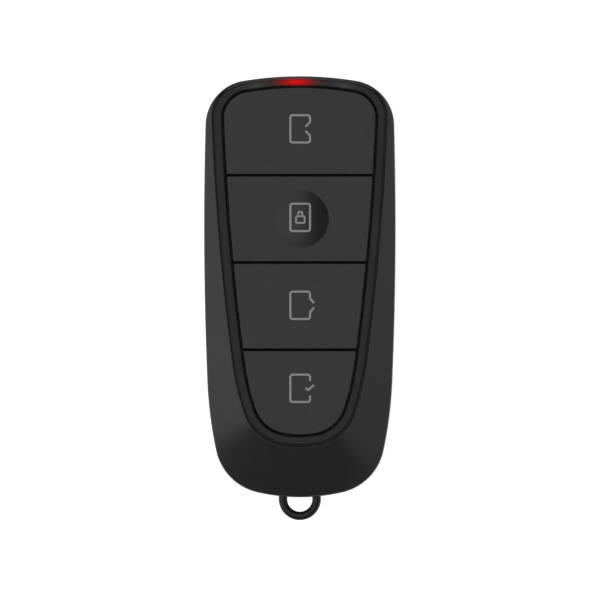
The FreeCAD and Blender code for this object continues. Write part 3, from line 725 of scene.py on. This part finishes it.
class REMOTE_OT_symbols(bpy.types.Operator):
    """Print the four pictograms on the keys"""
    bl_idname = "remote.symbols"
    bl_label = "Pictograms"

    def execute(self, context):
        chosen = settings("symbol")
        tree = build_print_tree()
        finish = ink(chosen)
        thinness = chosen.thin_stroke / chosen.stroke
        symbols = symbol_paths()
        for number, (key, name) in enumerate(zip(KEYS, symbols), start=1):
            rise, strokes = symbols[name]
            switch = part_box(f"switch_base_{number}")
            centre = (switch[0] + switch[1]) / 2 + Vector((0, rise * MM, 0))
            path = stroke_curve(name, strokes, centre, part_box(key)[1].z + PATH_RISE, thinness)
            print_symbol(name, path, key, tree, finish, chosen)
        return {"FINISHED"}


# Key ring loop and screws

def coated_metal(name, fineness, dark, light, bare, roughness, relief):
    """Coated wire or screw: faint drawn lines that stand out a little, and worn edges of paler bare
    metal.
    """
    material, tree, shader, place = new_finish(name)
    lines = use(tree, "streaks", vector=place, along=(1.0, 1.0, 1.0), fineness=fineness)
    wear_and_sheen = use(tree, "edge wear and sheen", vector=place)["Mask"]
    base = mixed(tree, lines["Mask"], dark, light)
    tree.links.new(mixed(tree, wear_and_sheen, base, bare), shader.inputs["Base Color"])
    tree.links.new(spread(tree, lines["Mask"], 0, 1, *roughness), shader.inputs["Roughness"])
    bumped(tree, shader, lines["Height"], 4 * MICRON, relief)
    return material, shader


class REMOTE_OT_loop_and_screws(bpy.types.Operator):
    """Finish the key ring loop in gloss enamel and the screws in black oxide"""
    bl_idname = "remote.loop_and_screws"
    bl_label = "Loop and screws"

    def execute(self, context):
        enamel, shader = coated_metal(
            "enamelled wire", fineness=1800.0, dark=(0.004, 0.004, 0.0045), light=(0.008, 0.008, 0.009),
            bare=(0.02, 0.02, 0.02), roughness=(0.24, 0.34), relief=0.6,
        )
        shader.inputs["Specular IOR Level"].default_value = 0.22
        shader.inputs["Coat Weight"].default_value = 0.08
        shader.inputs["Coat Roughness"].default_value = 0.08
        dress(enamel, "key_loop")

        oxide, shader = coated_metal(
            "blackened screw", fineness=4000.0, dark=(0.02, 0.02, 0.021), light=(0.04, 0.04, 0.042),
            bare=(0.16, 0.16, 0.16), roughness=(0.3, 0.5), relief=0.8,
        )
        shader.inputs["Metallic"].default_value = 0.85
        dress(oxide, "case_screw_left", "case_screw_right")
        return {"FINISHED"}


# Inside parts

BRIGHT_FINENESS = 6000.0

# Scales of the board's glass weave and of its tracks, and the tracks' share of their spacing
WEAVE_SCALE = 420.0
TRACK_SCALE = 180.0
TRACK_WIDTH = 0.06


def bright_metal(name, colour, roughness, along):
    """Bright metal with fine drawn lines and faint smudges."""
    material, tree, shader, place = new_finish(name)
    lines = use(tree, "streaks", vector=place, along=along, fineness=BRIGHT_FINENESS)
    fingers = use(tree, "handling", vector=place, size=4 * MM)["Mask"]
    base = mixed(tree, lines["Mask"], tinted(colour, 0.9), tinted(colour, 1.08))
    base = overlaid(tree, base, tinted(colour, 0.7), fingers, 0.25)
    tree.links.new(base, shader.inputs["Base Color"])
    rough = spread(tree, lines["Mask"], 0, 1, roughness, roughness + 0.12)
    tree.links.new(rough, shader.inputs["Roughness"])
    bumped(tree, shader, lines["Height"], 2 * MICRON)
    shader.inputs["Metallic"].default_value = 1.0
    return material


def laminate():
    """Dark green board: glass weave under the resist, and paler lines where there is copper."""
    material, tree, shader, place = new_finish("board laminate")
    warp, weft = [
        node(tree, "ShaderNodeTexWave", {
            "Vector": place, "Scale": WEAVE_SCALE, "Distortion": 0.3,
        }, bands_direction=direction).outputs["Fac"]
        for direction in ("X", "Y")
    ]
    weave = reckon(tree, "MAXIMUM", warp, weft)
    tracks = node(tree, "ShaderNodeTexBrick", {
        "Vector": place, "Scale": TRACK_SCALE, "Mortar Size": TRACK_WIDTH,
        "Color1": (0, 0, 0, 1), "Color2": (0, 0, 0, 1), "Mortar": (1, 1, 1, 1),
    }).outputs["Fac"]
    base = mixed(tree, weave, (0.003, 0.030, 0.011), (0.005, 0.042, 0.016))
    base = overlaid(tree, base, (0.02, 0.080, 0.026), tracks, 0.5)
    tree.links.new(base, shader.inputs["Base Color"])
    tree.links.new(spread(tree, weave, 0, 1, 0.22, 0.3), shader.inputs["Roughness"])
    bumped(tree, shader, weave, 4 * MICRON, 0.8)
    return material


class REMOTE_OT_inside(bpy.types.Operator):
    """Finish the board, its parts, the rubber mat and the battery"""
    bl_idname = "remote.inside"
    bl_label = "Inside parts"

    def execute(self, context):
        numbers = range(1, 5)
        rubber = moulded(
            "silicone rubber", (0.018, 0.018, 0.019), roughness=0.62,
            grain=0.2 * MM, depth=4 * MICRON, wear=0.1,
        )
        dress(rubber, "keypad_mat")
        dress(laminate(), "circuit_board")

        black = moulded(
            "black moulding", (0.014, 0.014, 0.015), roughness=0.45,
            grain=0.12 * MM, depth=4 * MICRON,
        )
        dress(
            black, *[f"switch_base_{n}" for n in numbers], *[f"switch_plunger_{n}" for n in numbers],
            "code_chip", "radio_chip",
        )
        nickel = bright_metal(
            "nickel plate", (0.62, 0.62, 0.60), roughness=0.2, along=(1.0, 0.04, 1.0),
        )
        dress(
            nickel, *[f"switch_dome_{n}" for n in numbers], *[f"switch_cover_{n}" for n in numbers],
            "timing_crystal", "coin_cell", "battery_clip",
        )
        copper = bright_metal(
            "copper track", (0.72, 0.42, 0.22), roughness=0.25, along=(0.05, 1.0, 1.0),
        )
        dress(copper, "aerial_track", "battery_contact")

        ceramic = moulded(
            "tan ceramic", (0.42, 0.30, 0.18), roughness=0.5,
            grain=0.1 * MM, depth=3 * MICRON, wear=0.1,
        )
        dress(ceramic, "capacitor_left", "capacitor_right")
        lens = moulded(
            "red lens", (0.5, 0.012, 0.012), roughness=0.18,
            grain=0.4 * MM, depth=1 * MICRON, wear=0.1,
        )
        dress(lens, "indicator_led")
        return {"FINISHED"}


# Floor, lamps and camera, in metres

SHEET_SIZE = 6.0

# Each pale sheet: its name, its height and how brightly it is seen. The underlay lies far below
# the floor and whitens the part of a low view that starts under the floor.
SHEETS = [("floor", -0.02 * MM, 0.8), ("underlay", -0.3, 1.0)]

# Each soft box: its name, its place, its width and height, its radiance and where it points
SOFT_BOXES = [
    ("box above", (-0.30, 0.05, 0.95), (0.95, 1.4), 1.23, (-0.30, 0.05, 0.0)),
    ("box left", (-1.3, -0.1, 0.5), (1.4, 0.9), 1.40, (0, 0, 0)),
    ("box right", (1.3, 0.2, 0.5), (0.9, 0.9), 0.98, (0, 0, 0)),
    ("box low right", (1.2, -0.75, 0.5), (0.9, 0.9), 0.66, (0, 0, 0)),
]
WORLD_LIGHT = 0.15
CAMERA_PLACE = (0.03 * MM, -0.29 * MM, 0.5)
CAMERA_NEAR, CAMERA_FAR = 0.01, 10


def pale_floor(name, colour, seen_light):
    """Pale sheet, white to the camera and in reflections; it shows shadows and is clear from below."""
    material, tree, shader, place = new_finish(name)
    behind = node(tree, "ShaderNodeNewGeometry").outputs["Backfacing"]
    tree.links.new(reckon(tree, "SUBTRACT", 1.0, behind), shader.inputs["Alpha"])
    mottle = use(tree, "mould grain", vector=place, grain=10 * MM)["Mottle"]
    base = mixed(tree, mottle, tinted(colour, 0.99), tinted(colour, 1.01))
    tree.links.new(base, shader.inputs["Base Color"])
    shader.inputs["Roughness"].default_value = 0.9
    shader.inputs["Specular IOR Level"].default_value = 0.0
    rays = node(tree, "ShaderNodeLightPath").outputs
    seen = reckon(tree, "MAXIMUM", rays["Is Camera Ray"], rays["Is Glossy Ray"])
    seen = reckon(tree, "MAXIMUM", seen, rays["Is Transmission Ray"])
    shader.inputs["Emission Color"].default_value = (1, 1, 1, 1)
    tree.links.new(reckon(tree, "MULTIPLY", seen, seen_light), shader.inputs["Emission Strength"])
    return material


def soft_box(name, place, size, radiance, aim):
    """Area lamp of one brightness whatever its size, turned towards a point."""
    lamp = bpy.data.lights.new(name, "AREA")
    lamp.shape = "RECTANGLE"
    lamp.size, lamp.size_y = size
    lamp.energy = radiance * math.pi * size[0] * size[1]
    box = bpy.data.objects.new(name, lamp)
    box.location = place
    box.rotation_euler = (Vector(aim) - Vector(place)).to_track_quat("-Z", "Y").to_euler()
    bpy.context.scene.collection.objects.link(box)


def lay_sheet(name, height, finish):
    """Level square sheet that belongs to the stage."""
    bpy.ops.mesh.primitive_plane_add(size=SHEET_SIZE, location=(0, 0, height))
    sheet = bpy.context.object
    sheet.name = name
    sheet.data.materials.append(finish)


def white_world():
    """World that sheds a little even white light."""
    world = bpy.data.worlds.new("studio")
    world.use_nodes = True
    back = world.node_tree.nodes["Background"]
    back.inputs["Color"].default_value = (1, 1, 1, 1)
    back.inputs["Strength"].default_value = WORLD_LIGHT
    return world


def camera_above(span):
    """Camera without perspective that looks straight down."""
    lens = bpy.data.cameras.new("camera")
    lens.type = "ORTHO"
    lens.ortho_scale = span
    lens.clip_start = CAMERA_NEAR
    lens.clip_end = CAMERA_FAR
    camera = bpy.data.objects.new("camera", lens)
    camera.location = CAMERA_PLACE
    bpy.context.scene.collection.objects.link(camera)
    return camera


class REMOTE_OT_stage(bpy.types.Operator):
    """Set up the pale floor, the soft lamps and the camera straight above"""
    bl_idname = "remote.stage"
    bl_label = "Stage"

    def execute(self, context):
        chosen = settings("stage")
        scene = context.scene
        for name, height, seen_light in SHEETS:
            lay_sheet(name, height, pale_floor("pale " + name, chosen.floor_colour, seen_light))
        for name, place, size, radiance, aim in SOFT_BOXES:
            soft_box(name, place, size, radiance * chosen.light, aim)
        scene.world = white_world()
        scene.camera = camera_above(chosen.picture_span)
        scene.view_settings.view_transform = "Standard"
        return {"FINISHED"}


# The add-on's panel and its registration

class REMOTE_PT_panel(bpy.types.Panel):
    """Sizes and colours of the remote, with a button for each group of pieces"""
    bl_idname = "REMOTE_PT_panel"
    bl_label = "Turnstile remote"
    bl_space_type = "VIEW_3D"
    bl_region_type = "UI"
    bl_category = "Remote"

    def draw(self, context):
        for group in GROUPS:
            box = self.layout.box()
            box.label(text=group.capitalize())
            chosen = settings(group)
            for name in chosen.bl_rna.properties.keys():
                if name not in ("rna_type", "name"):
                    box.prop(chosen, name)
        for operator in OPERATORS:
            self.layout.operator(operator.bl_idname)


GROUPS = {
    "shell": ShellSettings,
    "ring": RingSettings,
    "symbol": SymbolSettings,
    "stage": StageSettings,
}
OPERATORS = [
    REMOTE_OT_stage,
    REMOTE_OT_shells,
    REMOTE_OT_keys,
    REMOTE_OT_light_ring,
    REMOTE_OT_symbols,
    REMOTE_OT_loop_and_screws,
    REMOTE_OT_inside,
]


def register():
    for kind in [*GROUPS.values(), *OPERATORS, REMOTE_PT_panel]:
        bpy.utils.register_class(kind)
    for group, kind in GROUPS.items():
        setattr(bpy.types.Scene, "remote_" + group, PointerProperty(type=kind))


def unregister():
    for group in GROUPS:
        delattr(bpy.types.Scene, "remote_" + group)
    for kind in reversed([*GROUPS.values(), *OPERATORS, REMOTE_PT_panel]):
        bpy.utils.unregister_class(kind)


def main():
    register()
    bpy.ops.remote.stage()
    bpy.ops.remote.shells()
    bpy.ops.remote.keys()
    bpy.ops.remote.light_ring()
    bpy.ops.remote.symbols()
    bpy.ops.remote.loop_and_screws()
    bpy.ops.remote.inside()


if __name__ == "__main__":
    main()
